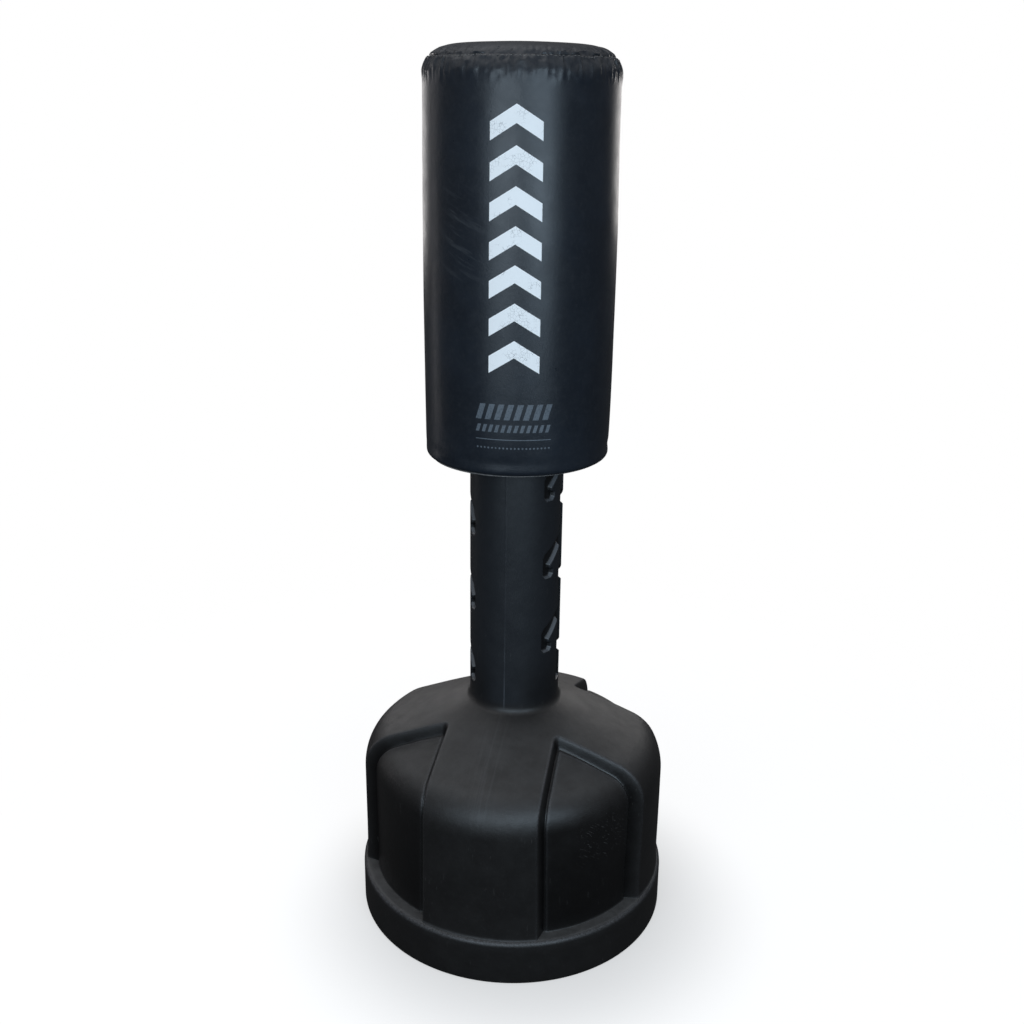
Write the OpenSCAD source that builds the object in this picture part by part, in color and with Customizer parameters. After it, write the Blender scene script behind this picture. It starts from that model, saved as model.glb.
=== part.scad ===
// Free-standing punching bag: a foam bag on a plastic core slides and locks on a hollow
// moulded post, which stands in one piece on a round tank filled with water or sand.
// Millimetres, +Z up. The origin is the centre of the tank's underside, and the front is -Y.
// The solids are posed with the locking pegs in the post's straight channels.

/* [Tank] */
// Radius of the rolled lip at the foot of the tank
lip_r = 308; // [290:1:320]
// Height of the lip
lip_h = 92; // [70:1:110]
// Radius of the tank wall on the raised ribs
wall_r = 299.5; // [290:0.5:300]
// Radius of the rounded shoulder between the wall and the sloping top
shoulder_r = 85; // [60:1:95]
// Fall of the sloping top for each unit of radius
top_slope = 0.44; // [0.35:0.01:0.5]
// Height at which the sloping top would meet the post
top_z = 453.3; // [440:0.1:470]
// Half the width of each raised rib of the cross
rib_half_w = 108; // [100:1:120]
// Depth of the recessed corner panels below the ribs
panel_depth = 20; // [15:1:25]
// Thickness of the moulded wall
shell_t = 6; // [4:0.5:7]
// Depth of the hollow under the tank that leaves a standing ring
foot_recess = 3; // [1:0.5:5]
// Level that the water or sand is filled to
fill_z = 350; // [250:5:360]

/* [Post] */
// Radius of the post
post_r = 87.5; // [80:0.5:90]
// Height of the post's closed top
post_top = 1126; // [1080:1:1130]
// Radius of the blend from the post into the tank
neck_r = 14; // [8:1:20]
// Rounding of the post's top edge
post_edge_r = 10; // [5:1:15]
// Radius of the floor of the channels and pockets
slot_floor_r = 79.5; // [78:0.5:82]
// Inner radius of the post
post_bore_r = 74; // [70:0.5:75]
// Height of the lowest pocket
first_pocket_z = 511; // [505:1:520]
// Step between pockets
pocket_step = 76.2; // [76:0.1:77]
// Number of pocket levels
levels = 8; // [8:1:8]
// Turn from the channel to the pocket centre, in degrees
lock_turn = 33; // [30:1:36]

/* [Bag] */
// Height of the bag's underside
bag_z = 952; // [948:1:960]
// Radius of the bag at its ends
bag_end_r = 168; // [160:0.5:175]
// How far the bag swells halfway up
bag_swell = 2.5; // [0:0.5:4]
// Height at which the top rounding starts
crown_z = 1608; // [1604:1:1612]
// Height of the top rounding
crown_h = 47; // [40:1:50]
// Inward reach of the top rounding
crown_w = 57; // [40:1:60]
// Rise of the slightly domed top
dome_h = 5; // [1:0.5:6]
// Thickness of the vinyl cover
cover_t = 1.6; // [1:0.1:2]

/* [Core] */
// Inner radius of the core tube
core_r = 90; // [89:0.5:91]
// Wall of the core tube
core_t = 5; // [4:0.5:6]
// Radius of each locking peg
peg_r = 9.5; // [9:0.5:10]
// Radius from the axis to the tip of each peg
peg_tip_r = 81; // [80.5:0.5:82]

/* [Filler cap] */
// Distance of the filler from the axis
filler_r = 190; // [180:1:200]
// Radius of the threaded hole
filler_hole_r = 27.5; // [20:0.5:30]
// Radius of the cap's rim
cap_rim_r = 38; // [34:0.5:40]

/* [Hidden] */
$fn = 96;
eps = 0.01;
gap = 0.4;                  // space between pieces that must not touch

// tank
foot_r = 6;                 // rounding under the lip
lip_edge_r = 10;            // rounding on top of the lip
foot_ring_w = 50;           // width of the standing ring
slope_a = atan(top_slope);
rib_corner_r = 14;          // rounding where two ribs meet
tank_reach = 2 * lip_r;     // longer than anything in the tank
fill_clear = 1;             // space between the fill and the wall

// pockets: s runs round the post from the channel, h up from the pocket centre
rest_level = 6;
peg_z = first_pocket_z + rest_level * pocket_step;
channel_half_w = 11;
channel_foot = 14;          // channel below the lowest pocket
pocket_s = post_r * lock_turn * PI / 180;
pocket_half_w = 13;
pocket_low = -16;
tooth_tip_h = 14;
tooth_root_h = 41;
mouth_top_h = 66;
pocket_roof_h = 24;
band_half_h = 10.5;         // straight way that the peg turns along
hook_mid = lock_turn / 2;

// bag
edge_r = 10;                // rounding of the bag's lower edge
seam_a = 36.2;              // where the top disc is sewn on, as an angle on the rounding
foam_split_r = 130;         // between the firm and the soft foam
foam_top = 1599.6;
pad_foot = 1600;
flange_z = bag_z + cover_t + gap;
flange_t = 6;
flange_r = 158;
core_out_r = core_r + core_t;
core_top = 1592;
core_cap_skirt = 7;
core_cap_t = 7;
peg_head_r = 11;
peg_head_t = 4;
peg_pocket_r = 12;
peg_pocket_depth = 9;
screw_r = 3;
screw_head_r = 5.5;
ring_in_r = 96;
ring_out_r = 116;
ring_t = 3.5;
ring_screw_count = 8;
ring_screw_pcd = 212;
ring_screw_len = 10;

// filler cap, measured out from the sloping top along its axis
boss_r = 43;
boss_h = 5;
gasket_t = 3;
gasket_in_r = 28.2;
cap_h = 11;
plug_r = 26.8;
plug_foot = -10;
grip_w = 9;
grip_h = 12;
grip_count = 24;

function arc(c, r, a0, a1, n = 10) =
    [for (i = [0:n]) let (a = a0 + (a1 - a0) * i / n) c + r * [cos(a), sin(a)]];

// height of the sloping top at radius r, sunk by d at right angles to it
function top_at(r, d) = top_z - top_slope * (r - post_r) - d / cos(slope_a);

// centre of the shoulder's arc: the same point at every depth
shoulder_c = [wall_r - shoulder_r, top_at(wall_r - shoulder_r, 0) - shoulder_r / cos(slope_a)];

// half outline of the tank up to the sloping top: recess sinks the panels, t sinks the inside
function tank_outline(recess, t) = concat(
    [[0, t]],
    arc([lip_r - foot_r, foot_r], foot_r - min(t, foot_r - 1), -90, 0, 4),
    arc([lip_r - lip_edge_r, lip_h - lip_edge_r], lip_edge_r - t, 0, 90, 5),
    [[wall_r - recess - t, lip_h - t]],
    arc(shoulder_c, shoulder_r - recess - t, 0, 90 - slope_a, 10));

// the same with the neck and the post; post is the post's radius and its top is at z1
function post_outline(t, post, z1) = concat(
    tank_outline(0, t),
    arc([post + neck_r + t, top_at(post + neck_r + t, t) + (neck_r + t) / cos(slope_a)],
        neck_r + t, 270 - slope_a, 180, 6),
    arc([post - post_edge_r, z1 - post_edge_r], post_edge_r, 0, 90, 6),
    [[0, z1]]);

// half outline of the recessed panels, closed over the middle where the ribs cover it
function panel_outline(t) = concat(
    tank_outline(panel_depth, t),
    [[post_r, top_at(post_r, panel_depth + t)], [0, top_at(post_r, panel_depth + t)]]);

module revolve(outline) { rotate_extrude() polygon(outline); }

// cross of two bars with rounded inner corners, tall enough for tank and post
module cross(half_w, height) {
    linear_extrude(height) {
        square([tank_reach, 2 * half_w], center = true);
        square([2 * half_w, tank_reach], center = true);
        for (a = [0:90:270])
            rotate(a) translate([half_w, half_w]) difference() {
                translate([-eps, -eps]) square(rib_corner_r + eps);
                translate([rib_corner_r, rib_corner_r]) circle(rib_corner_r);
            }
    }
}

// tank and post as a solid, with its surface sunk by t
module tank_solid(t, post, z1) {
    revolve(panel_outline(t));
    intersection() {
        revolve(post_outline(t, post, z1));
        cross(rib_half_w - t, z1 + 1);
    }
}

// puts its children on the sloping top at the back, with +Z out of the tank
module at_filler() {
    translate([0, filler_r, top_at(filler_r, 0)]) rotate([-slope_a, 0, 0]) children();
}

// sector of a ring from angle a0 to a1, between the slot floor and beyond the post
module slot_sector(a0, a1, z0, z1) {
    rotate([0, 0, a0]) rotate_extrude(angle = a1 - a0)
        translate([slot_floor_r, z0]) square([post_r + 2 - slot_floor_r, z1 - z0]);
}

// one hooked pocket: side is 1 or -1, the way that the bag turns to lock
module hook_pocket(z, side) {
    far = pocket_s + pocket_half_w;
    near = pocket_s - pocket_half_w;
    half_a = 9;
    // straight way round at the height of the pocket
    if (side > 0) slot_sector(0, lock_turn + half_a, z - band_half_h, z + band_half_h);
    else slot_sector(-lock_turn - half_a, 0, z - band_half_h, z + band_half_h);
    // slanting mouth and the pocket under it
    mid_s = pocket_s / 2;
    intersection() {
        rotate([0, 0, side * hook_mid]) translate([0, 0, z]) rotate([90, 0, 90])
            linear_extrude(post_r + 2) polygon([for (p = [
                [0, tooth_root_h + 6], [0, mouth_top_h - 4], [channel_half_w, mouth_top_h],
                [far - 4, pocket_roof_h + 8], [far, pocket_roof_h], [far, pocket_low + 6],
                [far - 6, pocket_low], [near + 6, pocket_low], [near, pocket_low + 6],
                [near, tooth_tip_h], [channel_half_w, tooth_root_h]])
                [side * (p[0] - mid_s), p[1]]]);
        difference() {
            translate([0, 0, z - lip_h]) cylinder(r = post_r + 1, h = 2 * lip_h);
            translate([0, 0, z - lip_h - 1]) cylinder(r = slot_floor_r, h = 2 * lip_h + 2);
        }
    }
}

// the two straight channels, open at the top of the post
module channels() {
    z0 = first_pocket_z - channel_foot;
    intersection() {
        translate([-lip_r, -channel_half_w, z0]) cube([2 * lip_r, 2 * channel_half_w, post_top]);
        difference() {
            translate([0, 0, z0]) cylinder(r = post_r + 1, h = post_top);
            translate([0, 0, z0 - 1]) cylinder(r = slot_floor_r, h = post_top + 2);
        }
    }
}

module base_shell() {
    color([0.07, 0.065, 0.06]) difference() {
        union() {
            tank_solid(0, post_r, post_top);
            at_filler() translate([0, 0, -boss_r / 2]) cylinder(r = boss_r, h = boss_h + boss_r / 2);
        }
        tank_solid(shell_t, post_bore_r, post_top - shell_t);
        translate([0, 0, -1]) cylinder(r = lip_r - foot_r - foot_ring_w, h = foot_recess + 1);
        at_filler() translate([0, 0, -boss_r]) cylinder(r = filler_hole_r, h = 2 * boss_r);
        channels();
        for (k = [0:levels - 1]) for (turn = [0, 180]) rotate([0, 0, turn]) {
            z = first_pocket_z + k * pocket_step;
            // the pockets take turns left and right, and the top level has both
            if (k % 2 == 0 || k == levels - 1) hook_pocket(z, 1);
            if (k % 2 == 1) hook_pocket(z, -1);
        }
    }
}

module ballast() {
    color([0.45, 0.55, 0.6]) intersection() {
        tank_solid(shell_t + fill_clear, post_bore_r - fill_clear, post_top - 2 * shell_t);
        cylinder(r = lip_r, h = fill_z);
    }
}

module cap_gasket() {
    color([0.12, 0.12, 0.12]) at_filler() translate([0, 0, boss_h + gap / 2]) difference() {
        cylinder(r = cap_rim_r - 2, h = gasket_t - gap);
        translate([0, 0, -1]) cylinder(r = gasket_in_r, h = gasket_t + 2);
    }
}

module fill_cap() {
    rim_z = boss_h + gasket_t;
    color([0.09, 0.09, 0.09]) at_filler() difference() {
        union() {
            translate([0, 0, rim_z]) cylinder(r = cap_rim_r, h = cap_h);
            translate([0, 0, plug_foot]) cylinder(r = plug_r, h = rim_z - plug_foot + 1);
            // bar to turn it by
            translate([-cap_rim_r + 6, -grip_w / 2, rim_z + cap_h - 1])
                cube([2 * cap_rim_r - 12, grip_w, grip_h + 1]);
        }
        // hollow plug
        translate([0, 0, plug_foot - 1]) cylinder(r = plug_r - 4, h = rim_z - plug_foot + 3);
        // finger grooves round the rim
        for (i = [0:grip_count - 1]) rotate([0, 0, i * 360 / grip_count])
            translate([cap_rim_r + 1, 0, rim_z + 2]) cylinder(r = 2.2, h = cap_h, $fn = 24);
    }
}

module core_cap() {
    color([0.2, 0.2, 0.22]) difference() {
        union() {
            translate([0, 0, core_top + gap]) cylinder(r = core_out_r, h = core_cap_t);
            translate([0, 0, core_top - core_cap_skirt])
                cylinder(r = core_r - gap, h = core_cap_skirt + gap + eps);
        }
        translate([0, 0, core_top - core_cap_skirt - 1])
            cylinder(r = core_r - 8, h = core_cap_skirt);
    }
}

// a peg's axis, with +Z outwards; side is 1 for +X and -1 for -X
module at_peg(side) { rotate([0, side * 90, 0]) children(); }

// both pegs' clearance, from radius r0 to r1
module peg_bores(r, r0, r1) {
    for (side = [1, -1]) translate([0, 0, peg_z]) at_peg(side)
        translate([0, 0, r0]) cylinder(r = r, h = r1 - r0);
}

module core_tube() {
    color([0.16, 0.16, 0.17]) difference() {
        union() {
            translate([0, 0, flange_z]) cylinder(r = core_out_r, h = core_top - flange_z);
            translate([0, 0, flange_z]) cylinder(r = flange_r, h = flange_t);
        }
        translate([0, 0, flange_z - 1]) cylinder(r = core_r, h = core_top - flange_z + 2);
        peg_bores(peg_r + 0.1, core_r - 10, core_out_r + 1);
        peg_bores(peg_pocket_r, core_out_r, core_out_r + peg_pocket_depth);
        ring_screw_places() cylinder(r = screw_r + 0.1, h = flange_t + 2);
    }
}

module lock_peg(side) {
    color([0.75, 0.76, 0.78]) translate([0, 0, peg_z]) at_peg(side) difference() {
        union() {
            translate([0, 0, peg_tip_r]) cylinder(r = peg_r, h = core_out_r + 1 - peg_tip_r);
            translate([0, 0, core_out_r + gap]) cylinder(r = peg_head_r, h = peg_head_t);
        }
        translate([0, 0, peg_tip_r + 4])
            cylinder(r = screw_r + 0.1, h = core_out_r + peg_head_t + 2 - peg_tip_r);
    }
}

module lock_peg_left() { lock_peg(-1); }

module lock_peg_right() { lock_peg(1); }

module peg_screws() {
    seat = core_out_r + gap + peg_head_t;
    color([0.6, 0.6, 0.62]) for (side = [1, -1]) translate([0, 0, peg_z]) at_peg(side) {
        translate([0, 0, peg_tip_r + 5]) cylinder(r = screw_r, h = seat - peg_tip_r - 5 + eps);
        translate([0, 0, seat]) cylinder(r = screw_head_r, h = 2.5);
    }
}

module foam_inner() {
    color([0.85, 0.8, 0.55]) difference() {
        translate([0, 0, flange_z + flange_t + gap])
            cylinder(r = foam_split_r, h = foam_top - flange_z - flange_t - gap);
        translate([0, 0, bag_z]) cylinder(r = core_out_r + 0.5, h = foam_top);
        peg_bores(peg_pocket_r, core_out_r - 1, core_out_r + peg_pocket_depth);
    }
}

// radius of the bag at height z below the top rounding, sunk by t
function bag_r(z, t) = bag_end_r - t + bag_swell * sin(180 * (z - bag_z) / (crown_z - bag_z));

// side of the bag from the lower edge up to the start of the top rounding
side_steps = 14;
function side_points(t) = [for (i = [0:side_steps])
    let (z = bag_z + edge_r + (crown_z - bag_z - edge_r) * i / side_steps) [bag_r(z, t), z]];

// rounding from the side towards the top, between angles a0 and a1
function crown_points(t, a0, a1, n = 6) = [for (i = [0:n]) let (a = a0 + (a1 - a0) * i / n)
    [bag_end_r - crown_w + (crown_w - t) * cos(a), crown_z + (crown_h - t) * sin(a)]];

// the slightly domed top from the rounding to the axis
function dome_points(t, n = 6) = [for (i = [0:n]) let (u = i / n)
    [(bag_end_r - crown_w) * (1 - u), crown_z + crown_h - t + dome_h * sin(90 * u)]];

function reversed(list) = [for (i = [len(list) - 1:-1:0]) list[i]];

// rounding of the lower edge, from underneath to the side
function edge_points(t) = arc([bag_end_r - edge_r, bag_z + edge_r], edge_r - t, -90, 0, 6);

module foam_outer() {
    t = cover_t + gap;
    color([0.55, 0.6, 0.65]) revolve(concat(
        [[foam_split_r + gap, flange_z + flange_t + gap]],
        [[bag_r(flange_z + flange_t, t), flange_z + flange_t + gap]],
        [for (p = side_points(t)) if (p[1] > flange_z + flange_t + 2 && p[1] < foam_top) p],
        [[bag_r(foam_top, t), foam_top], [foam_split_r + gap, foam_top]]));
}

module foam_top_pad() {
    t = cover_t + gap;
    color([0.8, 0.82, 0.84]) revolve(concat(
        [[0, pad_foot], [bag_r(pad_foot, t), pad_foot]],
        crown_points(t, 0, 90, 10), dome_points(t)));
}

module cover_side() {
    color([0.05, 0.055, 0.06]) revolve(concat(
        edge_points(0), side_points(0), crown_points(0, 0, seam_a),
        reversed(crown_points(cover_t, 0, seam_a)), reversed(side_points(cover_t)),
        reversed(edge_points(cover_t))));
}

module cover_top() {
    color([0.06, 0.065, 0.07]) revolve(concat(
        crown_points(0, seam_a + 0.1, 90), dome_points(0),
        reversed(dome_points(cover_t)), reversed(crown_points(cover_t, seam_a + 0.1, 90))));
}

module cover_bottom() {
    color([0.05, 0.05, 0.055]) translate([0, 0, bag_z]) difference() {
        cylinder(r = bag_end_r - edge_r - 0.1, h = cover_t);
        translate([0, 0, -1]) cylinder(r = ring_in_r + 1, h = cover_t + 2);
        ring_holes(cover_t);
    }
}

// places of the ring's screws at the flange's underside
module ring_screw_places() {
    for (i = [0:ring_screw_count - 1]) rotate([0, 0, (i + 0.5) * 360 / ring_screw_count])
        translate([ring_screw_pcd / 2, 0, flange_z - 1]) children();
}

// clearance holes for the ring's screws through a layer of thickness t that starts at z = 0
module ring_holes(t) {
    for (i = [0:ring_screw_count - 1]) rotate([0, 0, (i + 0.5) * 360 / ring_screw_count])
        translate([ring_screw_pcd / 2, 0, -1]) cylinder(r = screw_r + 0.3, h = t + 2);
}

module retaining_ring() {
    color([0.22, 0.22, 0.23]) translate([0, 0, bag_z - ring_t]) difference() {
        cylinder(r = ring_out_r, h = ring_t - 0.05);
        translate([0, 0, -1]) cylinder(r = ring_in_r, h = ring_t + 2);
        ring_holes(ring_t);
    }
}

module retaining_screws() {
    head_h = 2.2;
    color([0.6, 0.6, 0.62]) for (i = [0:ring_screw_count - 1])
        rotate([0, 0, (i + 0.5) * 360 / ring_screw_count])
            translate([ring_screw_pcd / 2, 0, bag_z - ring_t - head_h]) {
                cylinder(r = screw_head_r, h = head_h - 0.05);
                cylinder(r = screw_r, h = ring_screw_len + head_h);
            }
}

base_shell();
ballast();
fill_cap();
cap_gasket();
core_cap();
core_tube();
lock_peg_left();
lock_peg_right();
peg_screws();
foam_inner();
foam_outer();
foam_top_pad();
cover_side();
cover_top();
cover_bottom();
retaining_ring();
retaining_screws();
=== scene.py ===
import math

import bpy
import numpy as np
from mathutils import Matrix, Vector


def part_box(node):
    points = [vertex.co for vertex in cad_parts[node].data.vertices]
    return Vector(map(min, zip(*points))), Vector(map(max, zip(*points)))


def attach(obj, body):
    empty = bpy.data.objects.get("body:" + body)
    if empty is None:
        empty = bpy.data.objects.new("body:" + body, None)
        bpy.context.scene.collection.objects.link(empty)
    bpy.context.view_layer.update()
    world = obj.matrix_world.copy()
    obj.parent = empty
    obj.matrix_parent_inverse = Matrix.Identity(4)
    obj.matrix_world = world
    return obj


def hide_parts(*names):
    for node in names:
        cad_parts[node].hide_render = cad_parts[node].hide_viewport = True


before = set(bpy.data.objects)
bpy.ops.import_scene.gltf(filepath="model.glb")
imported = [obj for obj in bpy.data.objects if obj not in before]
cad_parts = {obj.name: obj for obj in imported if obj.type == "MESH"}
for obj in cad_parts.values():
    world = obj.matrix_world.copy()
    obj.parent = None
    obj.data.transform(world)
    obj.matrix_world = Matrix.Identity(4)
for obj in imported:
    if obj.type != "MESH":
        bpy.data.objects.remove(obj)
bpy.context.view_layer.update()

MM = 0.001

# ---------------------------------------------------------------- dimensions, in millimetres
# tank
LIP_R = 308.0
LIP_H = 92.0
LIP_EDGE_R = 10.0
FOOT_R = 6.0
FOOT_RING_R = 252.0
FOOT_RECESS = 3.0
WALL_R = 299.5
SHOULDER_R = 85.0
SHOULDER_Z = 304.6      # where the wall ends and the shoulder's rounding starts
TOP_SLOPE = 0.44
TOP_Z = 453.3
RIB_HALF_W = 108.0
RIB_FLARE = 3.5
RIB_CORNER_R = 13.0
PANEL_DEPTH = 20.0
PANEL_GROOVE = 3.0
# post
POST_R = 87.5
NECK_R = 14.0
POST_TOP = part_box("base_shell")[1].z / MM
POST_EDGE_R = 10.0
SLOT_DEPTH = 8.0
CHANNEL_HALF_W = 11.0
CHANNEL_FOOT = 497.0
FIRST_POCKET_Z = 511.0
POCKET_STEP = 76.2
LEVELS = 8
LOCK_TURN = math.radians(33)
# filler on the back of the tank's top
FILLER_R = 190.0
FILLER_HOLE_R = 27.5
BOSS_R = 43.0
BOSS_H = 5.0
# bag
BAG_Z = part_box("cover_side")[0].z / MM
BAG_END_R = 168.0
BAG_SWELL = 2.5
CROWN_Z = 1608.0
CROWN_H = 47.0
CROWN_W = 57.0
DOME_H = 5.0
BAG_EDGE_R = 10.0
SEAM_A = math.radians(36.2)
COVER_T = 1.6
FOAM_GAP = 0.4
FOAM_SPLIT_R = 130.0
FOAM_TOP = 1599.6
SEAM_PRESS = 3.5        # how far the tight cover squeezes the foam under the seam
CORE_OUT_R = 95.0
FLANGE_T = 6.0
BOTTOM_HOLE_R = 96.5
# main print: a column of chevrons
PRINT_R = 169.0
PRINT_S = 29.0          # middle of the print, round the bag from the front
PRINT_HALF_W = 43.0
PRINT_Z = 1134.0
CHEVRON_PITCH = 62.0
CHEVRON_STROKE = 29.0
CHEVRON_RISE = 0.62
CHEVRONS = 7
# small print: two rows of slanted bars, a line and a row of dots
SMALL_HALF_W = 66.0
SMALL_Z = 999.0
BAR_SLANT = 0.3
BAR_ROWS = ((55, 82, 16.5, 10.5, 8), (33, 46, 11, 6.5, 12))     # foot, top, pitch, width, count
PRINT_EDGE = 0.35       # softness of the print's edges

SLOPE_A = math.atan(TOP_SLOPE)


def top_at(r):
    """Height of the tank's sloping top at radius r."""
    return TOP_Z - TOP_SLOPE * (r - POST_R)


NECK_FOOT_R = POST_R + NECK_R
NECK_TOP_Z = top_at(NECK_FOOT_R) + NECK_R / math.cos(SLOPE_A)


# ---------------------------------------------------------------- numbers and meshes
def bell(x, width):
    return np.exp(-(x / width) ** 2)


def ramp(x, low, high):
    """0 at low and 1 at high, straight between and held beyond; low may be above high."""
    return np.clip((x - low) / (high - low), 0, 1)


def lattice_noise(points, size, seed):
    """Smooth noise from -1 to 1 at points (n, 3), with lumps about `size` mm across."""
    table = np.random.RandomState(seed).uniform(-1, 1, (32, 32, 32))
    p = np.asarray(points, float) / size
    cell = np.floor(p).astype(int)
    t = p - cell
    t = t * t * (3 - 2 * t)
    total = np.zeros(len(p))
    for corner in np.ndindex(2, 2, 2):
        weight = np.where(corner, t, 1 - t).prod(1)
        total += weight * table[tuple(((cell + corner) % 32).T)]
    return total


def band(low, high, count):
    """Quads between two closed rows of `count` vertices, which start at the numbers low and high."""
    return [(low + j, low + (j + 1) % count, high + (j + 1) % count, high + j) for j in range(count)]


def fan(first, count, middle):
    """Triangles between a closed row of vertices and one in its middle."""
    return [(first + j, first + (j + 1) % count, middle) for j in range(count)]


def flipped(faces):
    return [tuple(reversed(face)) for face in faces]


def ring_grid_faces(rows, cols, first=0):
    """Quads of a grid of rows that close on themselves, as vertex numbers."""
    return [face for i in range(rows - 1)
            for face in band(first + i * cols, first + (i + 1) * cols, cols)]


def around(r, azimuth, z):
    """Points at radius r and height z; the azimuth runs from the front, -Y, towards +X."""
    return np.stack(np.broadcast_arrays(r * np.sin(azimuth), -r * np.cos(azimuth), z), -1)


def zip_rings(low_first, low_az, high_first, high_az):
    """Triangles between two closed rings, given their first vertices' numbers and their azimuths."""
    low, high = np.argsort(low_az), np.argsort(high_az)
    low_az = np.append(low_az[low], low_az.min() + 2 * math.pi)
    high_az = np.append(high_az[high], high_az.min() + 2 * math.pi)
    low, high = (low_first + low).tolist(), (high_first + high).tolist()
    faces, i, j = [], 0, 0
    n, m = len(low), len(high)
    while i < n or j < m:
        if j >= m or (i < n and low_az[i + 1] <= high_az[j + 1]):
            faces.append((low[i], low[(i + 1) % n], high[j % m]))
            i += 1
        else:
            faces.append((low[i % n], high[(j + 1) % m], high[j]))
            j += 1
    return faces


def vertex_values(mesh, key):
    """The vertices' positions in metres, or their normals, as an array (n, 3)."""
    values = np.zeros(len(mesh.vertices) * 3)
    mesh.vertices.foreach_get(key, values)
    return values.reshape(-1, 3)


def make_object(name, verts_mm, faces, smooth_angle=40):
    mesh = bpy.data.meshes.new(name)
    mesh.from_pydata([tuple(v) for v in np.asarray(verts_mm) * MM], [], faces)
    mesh.validate()
    mesh.update()
    obj = bpy.data.objects.new(name, mesh)
    bpy.context.scene.collection.objects.link(obj)
    smooth(obj, smooth_angle)
    return obj


def smooth(obj, angle=40):
    obj.data.polygons.foreach_set("use_smooth", [True] * len(obj.data.polygons))
    obj.data.set_sharp_from_angle(angle=math.radians(angle))
    obj.data.update()


def boolean(obj, tool, operation):
    """Joins or cuts obj with a tool, which is used up."""
    modifier = obj.modifiers.new("cut", "BOOLEAN")
    modifier.operation = operation
    modifier.object = tool
    modifier.solver = "MANIFOLD"
    bpy.context.view_layer.update()
    shown = obj.evaluated_get(bpy.context.evaluated_depsgraph_get())
    mesh = bpy.data.meshes.new_from_object(shown)
    obj.modifiers.clear()
    obj.data = mesh
    bpy.data.objects.remove(tool)


def turned(name, outline, segments=96):
    """Closed solid of revolution about Z from outline points (r, z) in mm, both ends on the axis."""
    angles = np.arange(segments) * 2 * math.pi / segments
    inner = np.array(outline[1:-1], float)
    r, z = inner[:, :1], np.repeat(inner[:, 1:], segments, 1)
    verts = np.stack([r * np.cos(angles), r * np.sin(angles), z], -1).reshape(-1, 3)
    first, last = len(verts), len(verts) + 1
    verts = np.vstack([verts, [(0, 0, outline[0][1]), (0, 0, outline[-1][1])]])
    faces = ring_grid_faces(len(inner), segments) + flipped(fan(0, segments, first))
    faces += fan(first - segments, segments, last)
    return make_object(name, verts, faces, 35)


def arc(centre, radius, start, end, count):
    """Points (r, z) on an arc, with angles in degrees."""
    angles = np.radians(np.linspace(start, end, count + 1))
    return [(centre[0] + radius * math.cos(a), centre[1] + radius * math.sin(a)) for a in angles]


# ---------------------------------------------------------------- tank and post
def step_profile():
    """Depth of a panel against the distance in from the rib's edge: wall, groove, panel."""
    floor_depth = PANEL_DEPTH + PANEL_GROOVE
    into = (-30, -4, -1, 1, 4.5, 6, 8, 10.5, 14, 400)
    depth = (0, 0, 0.7, 3, PANEL_DEPTH - 2, floor_depth, floor_depth,
             PANEL_DEPTH + 0.6, PANEL_DEPTH, PANEL_DEPTH)
    x = np.arange(-30, 60, 0.25)
    y = np.interp(x, into, depth)
    kernel = np.hanning(13)
    y = np.convolve(np.pad(y, 6, mode="edge"), kernel / kernel.sum(), mode="valid")
    return x, y


STEP_X, STEP_Y = step_profile()
WALL_ZONE = 15.0        # width of the wall, groove and rise beside a rib


def into_panel(a, b):
    """Distance into a panel's rounded outline, a and b being those in from the ribs beside it."""
    u, v = RIB_CORNER_R - a, RIB_CORNER_R - b
    outside = np.hypot(np.maximum(u, 0), np.maximum(v, 0))
    return RIB_CORNER_R - outside - np.minimum(np.maximum(u, v), 0)


def panel_depth_at(a, b):
    return np.interp(into_panel(a, b), STEP_X, STEP_Y)


def round_rows(r, z, radius, angles, share):
    """Rows round an arc about (r, z); a negative radius makes it hollow."""
    return [(r + radius * math.cos(a), z + radius * math.sin(a), math.cos(a), math.sin(a), share)
            for a in angles]


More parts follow.
